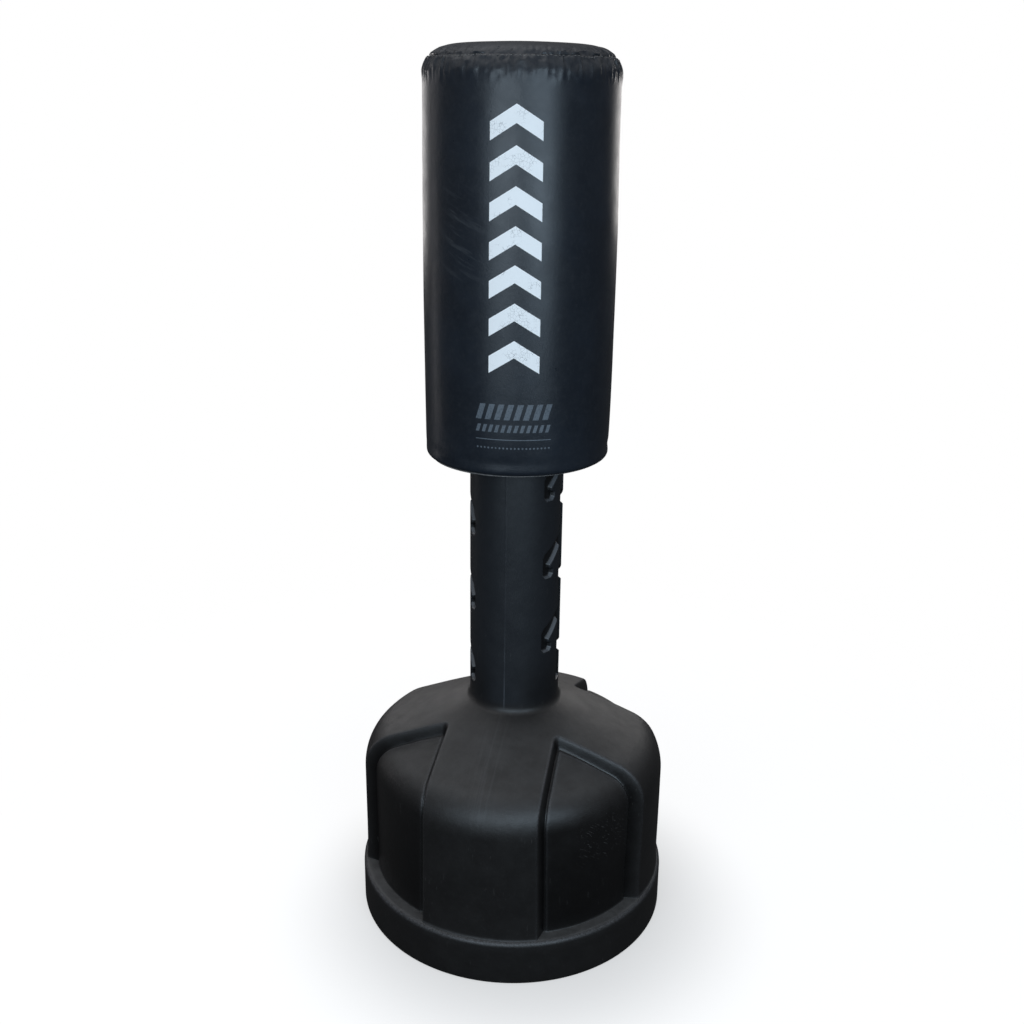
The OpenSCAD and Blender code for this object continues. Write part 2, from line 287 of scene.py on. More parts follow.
def tank_rows():
    """Rows (r, z, normal r, normal z, share of the panel's depth) from the foot to the neck."""
    rows = [(r, z, 0, -1, 0) for r, z in (
        (1, FOOT_RECESS), (150, FOOT_RECESS), (FOOT_RING_R - 1, FOOT_RECESS),
        (FOOT_RING_R, FOOT_RECESS - 1), (FOOT_RING_R, 0), (275, 0))]
    rows += round_rows(LIP_R - FOOT_R, FOOT_R, FOOT_R, np.radians(np.linspace(-90, 0, 7)), 0)
    rows += [(LIP_R, z, 1, 0, 0) for z in np.linspace(FOOT_R, LIP_H - LIP_EDGE_R, 7)[1:-1]]
    rows += round_rows(LIP_R - LIP_EDGE_R, LIP_H - LIP_EDGE_R, LIP_EDGE_R,
                       np.radians(np.linspace(0, 82, 9)), 0)
    last = rows[-1]
    for t in np.linspace(0, 1, 9)[1:]:
        rows.append((last[0] + (WALL_R + 2.4 - last[0]) * t, last[1] + (LIP_H + 0.2 - last[1]) * t,
                     1, 0, t))
    rows += [(WALL_R + flare, LIP_H + up, 1, 0, 1) for up, flare in (
        (1.2, 1.9), (3, 1.4), (6, 1.1), (12, 0.9), (22, 0.6), (34, 0.3))]
    shoulder_r = WALL_R - SHOULDER_R
    shoulder_z = top_at(shoulder_r) - SHOULDER_R / math.cos(SLOPE_A)
    rows += [(WALL_R, z, 1, 0, 1) for z in np.linspace(LIP_H + 47, shoulder_z, 19)[:-1]]
    upright = math.pi / 2 - SLOPE_A
    rows += round_rows(shoulder_r, shoulder_z, SHOULDER_R, np.linspace(0, upright, 25), 1)
    slope_start = rows[-1][0]
    neck_foot = NECK_FOOT_R - NECK_R * math.sin(SLOPE_A)
    radii = np.concatenate([np.arange(slope_start - 4, 196, -4), np.arange(195, 144, -1.7),
                            np.linspace(143, neck_foot + 3, 9)])
    for r in radii:
        # a panel sinks straight down near the post, so that its inner wall doesn't fold over
        lean = SLOPE_A * min(max((r - 200) / (slope_start - 200), 0), 1)
        rows.append((r, top_at(r), math.sin(lean), math.cos(lean), 1))
    return rows + round_rows(NECK_FOOT_R, NECK_TOP_Z, -NECK_R, np.linspace(upright, 0, 9), 0)


def rib_half_width(r, z):
    """The ribs widen a little towards the foot and narrow towards the post."""
    if z < SHOULDER_Z and r > 250:
        return RIB_HALF_W + RIB_FLARE * min((SHOULDER_Z - z) / (SHOULDER_Z - LIP_H), 1)
    return RIB_HALF_W - RIB_FLARE * min(max((WALL_R - r) / 150, 0), 1)


def tank_grid():
    """Vertices (rows, columns, 3) of the tank's skin."""
    # distances sideways from a rib's middle: the rib itself, then its edge and the wall beside it
    rib = np.linspace(0, RIB_HALF_W - 6, 15)
    edge = np.linspace(RIB_HALF_W - 6, RIB_HALF_W + WALL_ZONE, 22)[1:]
    panel_count = 10
    grid = []
    for r, z, nr, nz, share in tank_rows():
        half = rib_half_width(r, z)
        limit = (r - PANEL_DEPTH * nr * share) / math.sqrt(2)
        base = np.concatenate([rib, edge]) * half / RIB_HALF_W
        reach = base[-1] + 12
        x = np.concatenate([base, np.linspace(base[-1], max(limit, reach), panel_count + 1)[1:]])
        if limit < reach:
            # no room for a flat panel: the columns are drawn together
            limit = r / math.sqrt(2)
            for _ in range(4):
                limit = (r - nr * share * panel_depth_at(limit - half, limit - half)) / math.sqrt(2)
            x = x * min(limit / reach, 1)
        # the depth depends on where the sunk point lies, so it is found in a few rounds
        depth = 0
        for _ in range(4):
            y = np.sqrt(np.maximum((r - depth * nr) ** 2 - x * x, 0))
            depth = share * panel_depth_at(x - half, y - half)
        y = np.sqrt(np.maximum((r - depth * nr) ** 2 - x * x, 0))
        # one quarter, centred on a rib: right half mirrored to the left, ends shared; then three turns
        right = np.stack([x, -y, z - depth * nz], -1)
        ring = [np.vstack([right[:0:-1] * (-1, 1, 1), right[:-1]])]
        for _ in range(3):
            ring.append(ring[-1][:, (1, 0, 2)] * (-1, 1, 1))
        grid.append(np.concatenate(ring))
    return np.array(grid)


def segment_distance(p, a, b):
    ab, ap = b - a, p - a
    t = np.clip((ap @ ab) / (ab @ ab), 0, 1)
    return np.hypot(*(ap - t[:, None] * ab).T)


def inside_depth(p, corners):
    """Distance into a polygon, negative outside it."""
    corners = np.array(corners, float)
    best = np.full(len(p), 1e9)
    inside = np.zeros(len(p), bool)
    for a, b in zip(corners, np.roll(corners, -1, 0)):
        best = np.minimum(best, segment_distance(p, a, b))
        crosses = (a[1] > p[:, 1]) != (b[1] > p[:, 1])
        with np.errstate(divide="ignore", invalid="ignore"):
            x = (b[0] - a[0]) * (p[:, 1] - a[1]) / (b[1] - a[1]) + a[0]
        inside ^= crosses & (p[:, 0] < x)
    return np.where(inside, best, -best)


def hook_outline(open_band):
    """A pocket with its slanting mouth: distance round the post, and height from its centre."""
    centre = POST_R * LOCK_TURN
    near, far = centre - 13, centre + 13
    outline = [(0, 44), (0, 61), (CHANNEL_HALF_W, 66), (far - 5, 33), (far, 24), (far, -9),
               (far - 6, -16), (near + 6, -16), (near, -10)]
    if open_band:
        return outline + [(near, -10.5), (0, -10.5)]
    return outline + [(near, -1), (near + 9, 3), (near + 9.5, 9), (near + 2, 15), (CHANNEL_HALF_W, 41)]


def post_grid():
    """Vertices (rows, columns, 3) of the post with its channels and hooked pockets."""
    fine = math.radians(0.95)
    slot_from, slot_to = math.radians(39), math.radians(141)
    side = np.arange(slot_from, slot_to, fine)
    front = np.radians(np.concatenate([np.linspace(-38, -2, 12), (-1.1, -0.6, 0, 0.6, 1.1),
                                       np.linspace(2, 38, 12)]))
    azimuth = np.concatenate([front, side, front + math.pi, side + math.pi])
    heights = np.concatenate([np.linspace(NECK_TOP_Z + 4, 492, 6)[:-1], np.arange(492, 1040, 1.45),
                              np.arange(1042, POST_TOP - POST_EDGE_R, 3.2)])
    az, z = np.meshgrid(azimuth, heights)
    az, z = az.ravel(), z.ravel()
    depth = np.full(len(az), -50.0)
    for middle in (math.pi / 2, -math.pi / 2):
        s = POST_R * ((az - middle + math.pi) % (2 * math.pi) - math.pi)
        # a little wide, so that the rounded walls stay clear of the pegs
        channel = np.minimum(CHANNEL_HALF_W - np.abs(s), z - CHANNEL_FOOT) + 1.2
        depth = np.maximum(depth, channel)
        for level in range(LEVELS):
            h = z - (FIRST_POCKET_Z + level * POCKET_STEP)
            near = np.flatnonzero((np.abs(s) < 80) & (h > -30) & (h < 80))
            hidden = level >= LEVELS - 2        # under the bag, where it turns
            for way in (1, -1):
                if (level % 2 == 0) != (way == 1) and level != LEVELS - 1:
                    continue
                # azimuth runs from -Y towards +X, the way that the bag turns to lock
                points = np.stack([way * s[near], h[near]], -1)
                depth[near] = np.maximum(depth[near], inside_depth(points, hook_outline(hidden)))
    t = np.clip((depth + 1.3) / 4.2, 0, 1)
    sink = SLOT_DEPTH * t * t * (3 - 2 * t)
    seam = 0.45 * bell(POST_R * (((az + math.pi / 2) % math.pi) - math.pi / 2), 0.9)
    r = POST_R - sink + seam * ramp(z, 465, 485)
    return around(r, az, z).reshape(len(heights), len(azimuth), 3), azimuth


def at_filler(obj):
    """Moves an object made about Z to the filler on the back of the tank's top."""
    place = Matrix.Translation(Vector((0, FILLER_R, top_at(FILLER_R))) * MM)
    obj.data.transform(place @ Matrix.Rotation(-SLOPE_A, 4, "X"))
    return obj


def build_base():
    tank = tank_grid()
    post, post_az = post_grid()
    rows, cols = tank.shape[:2]
    skin = tank.reshape(-1, 3)
    # the moulding is a little uneven, less so where it meets the floor
    spread = ramp(skin[:, 2], 5, 65)
    outward = skin * (1, 1, 0)
    outward /= np.maximum(np.linalg.norm(outward, axis=1), 1)[:, None]
    uneven = 0.9 * lattice_noise(skin, 120, 3) + 0.35 * lattice_noise(skin, 45, 4)
    skin = skin + outward * (uneven * spread)[:, None] * 0.7
    skin[:, 2] += uneven * spread * 0.5
    skin[-cols:] = tank[-1]
    post_skin = post.reshape(-1, 3)
    post_rows, post_cols = post.shape[:2]
    verts = [skin, post_skin]
    faces = ring_grid_faces(rows, cols)
    first = rows * cols
    faces += ring_grid_faces(post_rows, post_cols, first)
    faces += zip_rings(first - cols, np.arctan2(skin[-cols:, 0], -skin[-cols:, 1]),
                       first, (post_az + math.pi) % (2 * math.pi) - math.pi)
    # rounded and closed top of the post
    total = first + post_rows * post_cols
    for a in np.radians(np.linspace(0, 90, 7)[1:]):
        scale = (POST_R - POST_EDGE_R + POST_EDGE_R * math.cos(a)) / POST_R
        level = post[-1] * (scale, scale, 1)
        level[:, 2] = POST_TOP - POST_EDGE_R + POST_EDGE_R * math.sin(a)
        verts.append(level)
        faces += band(total - post_cols, total, post_cols)
        total += post_cols
    verts.append(np.array([(0, 0, POST_TOP), (0, 0, FOOT_RECESS)]))
    faces += fan(total - post_cols, post_cols, total) + flipped(fan(0, cols, total + 1))
    base = make_object("base_moulding", np.vstack(verts), faces, 50)
    boss = turned("boss", [(0, -18), (BOSS_R + 3, -18), (BOSS_R + 1, -2)]
                  + arc((BOSS_R - 3, BOSS_H - 3), 3, 0, 90, 5) + [(0, BOSS_H)])
    boolean(base, at_filler(boss), "UNION")
    hole = turned("hole", [(0, -26), (FILLER_HOLE_R, -26), (FILLER_HOLE_R, BOSS_H - 1.5),
                           (FILLER_HOLE_R + 1.5, BOSS_H + 0.1), (FILLER_HOLE_R + 1.5, BOSS_H + 9),
                           (0, BOSS_H + 9)])
    boolean(base, at_filler(hole), "DIFFERENCE")
    smooth(base, 50)
    return base


base = build_base()
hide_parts("base_shell")
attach(base, "base")


# ---------------------------------------------------------------- bag
COVER_COLS = 288
SHOULDER_FROM = 1520.0      # height where the simulated part of the cover starts
GATHER = 0.12               # extra cloth that is gathered in at the seam
GATHER_SHIFT = 0.045        # how much of it is drawn to the left and right sides
FRAMES = 26
MOST_OUT, MOST_IN = 1.7, 2.0    # how far a simulated fold may stand out or sink in, in mm


def bag_radius(z):
    return BAG_END_R + BAG_SWELL * math.sin(math.pi * (z - BAG_Z) / (CROWN_Z - BAG_Z))


def dents(az, z):
    """Unevenness of the used bag: shallow dents, and a bulge and a tuck low on the left."""
    az, z = np.asarray(az, float), np.asarray(z, float)
    points = np.stack(np.broadcast_arrays(BAG_END_R * np.sin(az), BAG_END_R * np.cos(az), z), -1)
    flat = points.reshape(-1, 3)
    waves = 1.0 * lattice_noise(flat, 150, 11) + 0.45 * lattice_noise(flat, 62, 12)
    waves = waves.reshape(points.shape[:-1])
    s = BAG_END_R * ((az - math.radians(-31) + math.pi) % (2 * math.pi) - math.pi)
    low = BAG_Z + 25
    bulge = 2.2 * bell(s, 24) * bell(z - low, 13)
    tuck = -2.6 * bell(s + 4, 30) * bell(z - low + 15, 6)
    pinch = -1.6 * bell(z - (BAG_Z + 23), 9) * (0.6 + 0.4 * np.cos(3 * az + 1))
    return waves * ramp(z, BAG_Z, BAG_Z + 60) * ramp(z, 1600, 1520) + bulge + tuck + pinch


def crown_arc(start, end, count, sink=0.0):
    """Points on the bag's top rounding, from angle start to angle end."""
    angles = np.linspace(start, end, count + 1)
    return [(BAG_END_R - CROWN_W + (CROWN_W - sink) * math.cos(a),
             CROWN_Z + (CROWN_H - sink) * math.sin(a)) for a in angles]


def dome(count, sink=0.0):
    """Points on the slightly domed top, from the rounding inwards and short of the axis."""
    return [((BAG_END_R - CROWN_W) * (1 - u), CROWN_Z + CROWN_H - sink + DOME_H * math.sin(math.pi / 2 * u))
            for u in np.linspace(0, 0.97, count + 1)]


def bag_top(start, crown_count, dome_count, sink):
    """Outline from angle start on the rounding to the axis."""
    return (crown_arc(start, math.pi / 2, crown_count, sink) + dome(dome_count, sink)[1:]
            + [(0, CROWN_Z + CROWN_H + DOME_H - sink)])


def cover_outline():
    """Outline of the whole cover from its lower edge to the top's middle, and three row numbers:
    where the simulated cloth starts, the seam, and where the simulated cloth ends."""
    rows = arc((BAG_END_R - BAG_EDGE_R, BAG_Z + BAG_EDGE_R), BAG_EDGE_R, -90, 0, 8)
    rows += [(bag_radius(z), z) for z in np.arange(BAG_Z + BAG_EDGE_R + 5, BAG_Z + 70, 5)]
    rows += [(bag_radius(z), z) for z in np.linspace(BAG_Z + 72, SHOULDER_FROM, 34)]
    start = len(rows) - 1
    rows += [(bag_radius(z), z) for z in np.linspace(SHOULDER_FROM, CROWN_Z, 28)[1:]]
    rows += crown_arc(0, SEAM_A, 10)[1:]
    seam = len(rows) - 1
    rows += crown_arc(SEAM_A, math.pi / 2, 14)[1:]
    rows += dome(16)[1:4]
    end = len(rows) - 1
    rows += dome(16)[4:]
    return rows, start, seam, end


def pucker_strength(az):
    """Gathers are deepest at the bag's sides and slight at its front."""
    return 0.35 + 0.65 * np.sin(az + 0.12) ** 2


def pucker_waves(az, seed, low, high):
    """A closed row of uneven waves round the bag, about -1 to 1."""
    random = np.random.RandomState(seed)
    total = np.zeros_like(az)
    for count in range(low, high, 3):
        total += random.uniform(0.3, 1) * np.sin(count * az + random.uniform(0, 2 * math.pi))
    return total / math.sqrt((high - low) / 3 * 0.25)


def simulate_gathers(start_grid, spare, pinned_rows):
    """Lets vinyl with a share of spare cloth buckle over the foam; gives the new points, in mm."""
    rows, cols = start_grid.shape[:2]
    faces = ring_grid_faces(rows, cols)
    cloth = make_object("gathers", start_grid.reshape(-1, 3), faces)
    # the group holds what is not spare: Blender lets cloth grow most where its weight is 0
    full = cloth.vertex_groups.new(name="full")
    for index, weight in enumerate(1 - spare.ravel()):
        full.add([index], float(weight), "REPLACE")
    pins = cloth.vertex_groups.new(name="pins")
    for row in pinned_rows:
        pins.add(range(row * cols, (row + 1) * cols), 1.0, "REPLACE")
    under = COVER_T + FOAM_GAP
    foam = turned("foam_form", [(0, 1440), (bag_radius(1440) - under, 1440)]
                  + [(bag_radius(z) - under, z) for z in np.arange(1460, CROWN_Z, 12)]
                  + bag_top(0, 20, 10, under), 128)
    foam.modifiers.new("stop", "COLLISION")
    foam.collision.thickness_outer = 0.001
    foam.collision.cloth_friction = 8
    modifier = cloth.modifiers.new("cloth", "CLOTH")
    for key, value in (("quality", 5), ("mass", 0.12), ("tension_stiffness", 30),
                       ("compression_stiffness", 30), ("shear_stiffness", 12),
                       ("bending_stiffness", 0.06), ("air_damping", 2), ("vertex_group_mass", "pins"),
                       ("vertex_group_shrink", "full"), ("shrink_min", -GATHER), ("shrink_max", 0)):
        setattr(modifier.settings, key, value)
    modifier.settings.effector_weights.gravity = 0
    modifier.collision_settings.distance_min = 0.001
    modifier.collision_settings.collision_quality = 2
    modifier.point_cache.frame_start = 1
    modifier.point_cache.frame_end = FRAMES
    scene = bpy.context.scene
    for frame_number in range(1, FRAMES + 1):
        scene.frame_set(frame_number)
    shown = cloth.evaluated_get(bpy.context.evaluated_depsgraph_get())
    moved = vertex_values(shown.data, "co") / MM
    scene.frame_set(1)
    bpy.data.objects.remove(cloth)
    bpy.data.objects.remove(foam)
    return moved.reshape(rows, cols, 3)


def outward_of(outline):
    """Outward directions (r, z) along an outline."""
    line = np.array(outline)
    along = np.gradient(line, axis=0)
    normal = np.stack([along[:, 1], -along[:, 0]], -1)
    return normal / np.linalg.norm(normal, axis=1)[:, None]


def cover_grid():
    """The cover's outer skin as a grid (rows, columns, 3), and the seam's row."""
    outline, start, seam, end = cover_outline()
    line = np.array(outline)
    normal = outward_of(outline)
    az = np.arange(COVER_COLS) * 2 * math.pi / COVER_COLS
    # share of the gathering at each row: none at the start and the end, all at the seam
    length = np.concatenate([[0], np.cumsum(np.linalg.norm(np.diff(line, axis=0), axis=1))])
    share = np.interp(length, [length[start], length[seam], length[end]], [0, 1, 0])
    share = share ** 2 * (3 - 2 * share)
    turn = az[None, :] - GATHER_SHIFT * share[:, None] * -np.sin(2 * az)[None, :]
    sides = pucker_strength(az)
    fine = pucker_waves(az, 5, 46, 96) * sides
    coarse = pucker_waves(az, 8, 20, 44) * sides
    beside = length - length[seam]
    near_seam = np.exp(-np.abs(beside)[:, None] / (16 + 12 * sides)[None, :])
    relief = 1.5 * near_seam * (fine + 0.8 * coarse)[None, :]
    relief[seam] *= 0.25
    grid = around(line[:, :1] + relief * normal[:, :1], turn, line[:, 1:] + relief * normal[:, 1:])
    part = slice(start, end + 1)
    reach = ramp(share[part], 0.62, 1)[:, None]
    spare = reach * (0.3 + 0.7 * sides)[None, :]
    result = simulate_gathers(grid[part], spare, (0, seam - start, end - start))
    radius = np.hypot(result[..., 0], result[..., 1])
    moved = (radius - line[part, :1]) * normal[part, :1]
    moved += (result[..., 2] - line[part, 1:]) * normal[part, 1:]
    # the folds are kept, but not the even swelling that comes with them
    fade = ramp(share[part], 0.58, 0.88)[:, None]
    kept = np.clip((moved - moved.mean(1, keepdims=True)) * fade, -MOST_IN, MOST_OUT)
    outward = around(normal[part, :1], np.arctan2(result[..., 0], -result[..., 1]), normal[part, 1:])
    grid[part] = result - (moved - kept)[..., None] * outward
    # dents of the side, and the crease where the top disc is sewn on
    sunk = dents(turn, grid[..., 2])
    below = np.arange(len(outline))[:, None] < seam
    crease = 0.7 * bell(beside + 5.5, 2.6) - 1.5 * bell(beside, 2.0) + 0.5 * bell(beside - 5.5, 2.6)
    push = np.where(below, sunk, 0) + crease[:, None]
    return grid + around(push * normal[:, :1], turn, push * normal[:, 1:]), seam


def grid_normals(grid):
    across = np.roll(grid, -1, 1) - np.roll(grid, 1, 1)
    along = np.gradient(grid, axis=0)
    normal = np.cross(across, along)
    return normal / np.maximum(np.linalg.norm(normal, axis=-1, keepdims=True), 1e-9)


def thick_sheet(name, grid, normals, thickness, closed_middle=False):
    """A sheet of cloth from a grid of its outer skin: inner skin and edges added."""
    rows, cols = grid.shape[:2]
    inner = grid - normals * thickness
    verts = [grid.reshape(-1, 3), inner.reshape(-1, 3)]
    faces = ring_grid_faces(rows, cols)
    count, last = rows * cols, (rows - 1) * cols
    faces += flipped(ring_grid_faces(rows, cols, count) + band(0, count, cols))
    if closed_middle:
        verts.append(np.array([grid[-1].mean(0) + (0, 0, 0.05), inner[-1].mean(0) + (0, 0, 0.05)]))
        faces += fan(last, cols, 2 * count) + flipped(fan(count + last, cols, 2 * count + 1))
    else:
        faces += band(last, count + last, cols)
    return make_object(name, np.vstack(verts), faces, 60)


def revolved(name, loop, segments=192, wobble=None):
    """Ring-shaped solid from a closed loop of points (r, z), anticlockwise seen with r to the right."""
    loop = np.array(loop, float)
    az = np.arange(segments) * 2 * math.pi / segments
    r, z = (np.repeat(loop[:, k:k + 1], segments, 1) for k in (0, 1))
    if wobble:
        dr, dz = wobble(r, z, az[None, :])
        r, z = r + dr, z + dz
    faces = ring_grid_faces(len(loop), segments) + band((len(loop) - 1) * segments, 0, segments)
    return make_object(name, around(r, az, z).reshape(-1, 3), faces)


def stitches(name, path, length, pitch, radius):
    """A row of short threads along a closed path (n, 3), each bulging out of the cloth."""
    path = np.vstack([path, path[:1]])
    run = np.concatenate([[0], np.cumsum(np.linalg.norm(np.diff(path, axis=0), axis=1))])
    count = int(run[-1] / pitch)
    verts, faces = [], []
    stations = ((-0.5, 0.25), (-0.36, 0.8), (0, 1), (0.36, 0.8), (0.5, 0.25))
    for i in range(count):
        middle = (i + 0.5) * run[-1] / count
        spots = np.array([[np.interp(middle + t * length, run, path[:, k]) for k in range(3)]
                          for t, _ in stations])
        forward = spots[-1] - spots[0]
        forward /= np.linalg.norm(forward)
        out = spots[2] * (1, 1, 0.0) + (0, 0, 60)
        out -= forward * (out @ forward)
        out /= np.linalg.norm(out)
        side = np.cross(forward, out)
        first = len(verts)
        for (t, size), spot in zip(stations, spots):
            lift = radius * (0.9 - 3.2 * t * t)
            for corner in range(6):
                a = corner * math.pi / 3
                verts.append(spot + out * lift + radius * size * (math.cos(a) * side + math.sin(a) * out))
        faces += ring_grid_faces(len(stations), 6, first)
        faces.append(tuple(first + c for c in (5, 4, 3, 2, 1, 0)))
        faces.append(tuple(first + (len(stations) - 1) * 6 + c for c in range(6)))
    return make_object(name, np.array(verts), faces, 60)


def build_bag():
    grid, seam = cover_grid()
    normals = grid_normals(grid)
    side = thick_sheet("bag_cover_sleeve", grid[:seam + 1], normals[:seam + 1], COVER_T)
    top = thick_sheet("bag_cover_top", grid[seam:], normals[seam:], COVER_T, closed_middle=True)
    thread = stitches("top_seam_stitches", grid[seam - 1] * 0.5 + grid[seam - 2] * 0.5, 4.6, 7.2, 0.5)
    under = COVER_T + FOAM_GAP
    floor_z = BAG_Z + COVER_T + FOAM_GAP + FLANGE_T + FOAM_GAP

    def bottom_wobble(r, z, az):
        edge_r = BAG_END_R - BAG_EDGE_R
        share = ramp(r, BOTTOM_HOLE_R, BOTTOM_HOLE_R + 20) * ramp(r, edge_r, edge_r - 12)
        flat = np.stack([r * np.sin(az), r * np.cos(az), 0 * r], -1).reshape(-1, 3)
        waves = np.abs(lattice_noise(flat, 26, 21)).reshape(r.shape)
        return 0, 0.25 * share * waves

    radii = np.linspace(BAG_END_R - BAG_EDGE_R, BOTTOM_HOLE_R, 22)
    loop = [(r, BAG_Z + COVER_T) for r in radii]
    loop += [(BOTTOM_HOLE_R, BAG_Z + 0.4)] + [(r, BAG_Z) for r in radii[::-1]]
    bottom = revolved("bag_cover_bottom", loop, 192, bottom_wobble)

    def welt_wobble(r, z, az):
        droop = 0.9 * np.sin(az - 1.2) + 0.7 * np.sin(2 * az + 0.6)
        return 0 * droop, np.minimum(droop, 0.8) - 0.4

    welt = revolved("bottom_welt", arc((BAG_END_R - BAG_EDGE_R - 1.0, BAG_Z - 0.2), 1.5, 0, 315, 7),
                    240, welt_wobble)

    def foam_wobble(r, z, az):
        outer = ramp(r, FOAM_SPLIT_R + 8, FOAM_SPLIT_R + 28)
        return dents(az + 0 * r, z) * outer - outer * 0.3, 0 * r

    zs = np.linspace(floor_z, FOAM_TOP, 48)
    outer_loop = [(FOAM_SPLIT_R + FOAM_GAP, floor_z)] + [(bag_radius(z) - under, z) for z in zs]
    outer_loop += [(FOAM_SPLIT_R + FOAM_GAP, z) for z in zs[::-1][::4]]
    foam_outer = revolved("foam_outer_wrap", outer_loop, 128, foam_wobble)
    inner_loop = [(CORE_OUT_R + 0.5, floor_z)] + [(FOAM_SPLIT_R, z) for z in zs[::4]]
    inner_loop += [(FOAM_SPLIT_R, FOAM_TOP), (CORE_OUT_R + 0.5, FOAM_TOP)]
    inner_loop += [(CORE_OUT_R + 0.5, z) for z in zs[::-1][4:-1:4]]
    foam_inner = revolved("foam_inner_tube", inner_loop, 96)
    pressed = under + SEAM_PRESS
    pad = turned("foam_top_cushion", [(0, FOAM_TOP + 0.4), (bag_radius(FOAM_TOP) - pressed, FOAM_TOP + 0.4)]
                 + bag_top(0.03, 18, 12, pressed), 128)
    pieces = ((side, "cover_side", "vinyl"), (top, "cover_top", "vinyl"),
              (bottom, "cover_bottom", "vinyl"), (foam_outer, "foam_outer", "foam_soft"),
              (foam_inner, "foam_inner", "foam_firm"), (pad, "foam_top_pad", "foam_soft"))
    for piece, node, slot in pieces:
        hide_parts(node)
        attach(piece, "bag")
    for piece in (thread, welt):
        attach(piece, "bag")
    return side, top, bottom, thread, welt, foam_outer, foam_inner, pad


(cover_side, cover_top, cover_bottom, seam_thread, welt,
 foam_outer, foam_inner, foam_pad) = build_bag()


# ---------------------------------------------------------------- materials
def add_node(tree, kind, inputs=(), **settings):
    """Adds a shader node; inputs are pairs of a socket's name or number and a number, colour,
    field or socket to feed it."""
    node = tree.nodes.new("ShaderNode" + kind)
    for key, value in settings.items():
        setattr(node, key, value)
    for key, value in inputs:
        if isinstance(value, Field):
            value = value.socket
        if isinstance(value, bpy.types.NodeSocket):
            tree.links.new(value, node.inputs[key])
        else:
            node.inputs[key].default_value = value
    return node


class Field:
    """A number that varies over a surface, built up from shader maths nodes."""

    def __init__(self, tree, socket):
        self.tree, self.socket = tree, socket

    def maths(self, operation, *others):
        node = add_node(self.tree, "Math", enumerate((self, *others)), operation=operation)
        return Field(self.tree, node.outputs[0])

    def __add__(self, other):
        return self.maths("ADD", other)

    def __sub__(self, other):
        return self.maths("SUBTRACT", other)

    def __mul__(self, other):
        return self.maths("MULTIPLY", other)

    def size(self):
        return self.maths("ABSOLUTE")

    def either(self, other):
        return self.maths("MAXIMUM", other)

    def rise(self, low, high):
        """0 below low and 1 above high, smooth between; the other way round if low is above high."""
        start, end = (0, 1) if low < high else (1, 0)
        node = add_node(self.tree, "MapRange", (
            ("Value", self), ("From Min", min(low, high)), ("From Max", max(low, high)),
            ("To Min", start), ("To Max", end)), interpolation_type="SMOOTHSTEP")
        return Field(self.tree, node.outputs["Result"])

    def between(self, low, high, soft):
        return self.rise(low - soft, low + soft) * self.rise(high + soft, high - soft)


def distance(a, b):
    """Length of the field vector (a, b)."""
    return (a * a + b * b).maths("SQRT")


class Look:
    """A material whose colour, roughness and bump are built up from fields, in millimetres."""

    def __init__(self, name, color, roughness, **sockets):
        self.material = bpy.data.materials.new(name)
        self.material.use_nodes = True
        self.tree = self.material.node_tree
        self.shader = self.tree.nodes["Principled BSDF"]
        self.color = (*color, 1)
        self.normal = None
        self.shader.inputs["Base Color"].default_value = self.color
        self.shader.inputs["Roughness"].default_value = roughness
        for key, value in sockets.items():
            self.shader.inputs[key.replace("_", " ")].default_value = value
        place = self.add("TexCoord").outputs["Object"]
        self.place = self.add("VectorMath", ((0, place), ("Scale", 1 / MM)), operation="SCALE").outputs[0]
        split = self.add("SeparateXYZ", ((0, self.place),))
        self.x, self.y, self.z = (Field(self.tree, out) for out in split.outputs)

    def add(self, kind, inputs=(), **settings):
        return add_node(self.tree, kind, inputs, **settings)

    def stretched(self, x, y, z):
        """Coordinates for a noise, stretched along an axis by making its factor small."""
        return self.add("VectorMath", ((0, self.place), (1, (x, y, z))), operation="MULTIPLY").outputs[0]

    def combine(self, *fields):
        return self.add("CombineXYZ", enumerate(fields)).outputs[0]

    def noise(self, size, detail=2.0, place=None, roughness=0.5):
        """Noise from about 0.2 to 0.8, with lumps about `size` mm across."""
        node = self.add("TexNoise", (("Vector", place or self.place), ("Scale", 1 / size),
                                     ("Detail", detail), ("Roughness", roughness)))
        return Field(self.tree, node.outputs["Fac"])

    def cells(self, size, feature="F1"):
        node = self.add("TexVoronoi", (("Vector", self.place), ("Scale", 1 / size)), feature=feature)
        return Field(self.tree, node.outputs["Distance"])

    def attribute(self, name):
        return Field(self.tree, self.add("Attribute", attribute_name=name).outputs["Fac"])

    def upward(self):
        """How far the surface faces up, -1 to 1."""
        normal = self.add("TexCoord").outputs["Normal"]
        return Field(self.tree, self.add("SeparateXYZ", ((0, normal),)).outputs["Z"])

    def paint(self, factor, color):
        """Mixes another colour over what is there, as far as factor says."""
        mix = self.add("Mix", ((0, factor), (6, self.color), (7, (*color, 1))), data_type="RGBA")
        self.color = mix.outputs[2]
        self.tree.links.new(self.color, self.shader.inputs["Base Color"])

    def roughen(self, field):
        self.tree.links.new(field.socket, self.shader.inputs["Roughness"])

    def bump(self, height, depth, strength=1.0):
        """Adds relief from a height field, `depth` mm from 0 to 1."""
        inputs = [("Strength", strength), ("Distance", depth * MM), ("Height", height)]
        if self.normal:
            inputs.append(("Normal", self.normal))
        self.normal = self.add("Bump", inputs).outputs["Normal"]
        self.tree.links.new(self.normal, self.shader.inputs["Normal"])

    def put_on(self, *objects):
        for obj in objects:
            obj.data.materials.clear()
            obj.data.materials.append(self.material)


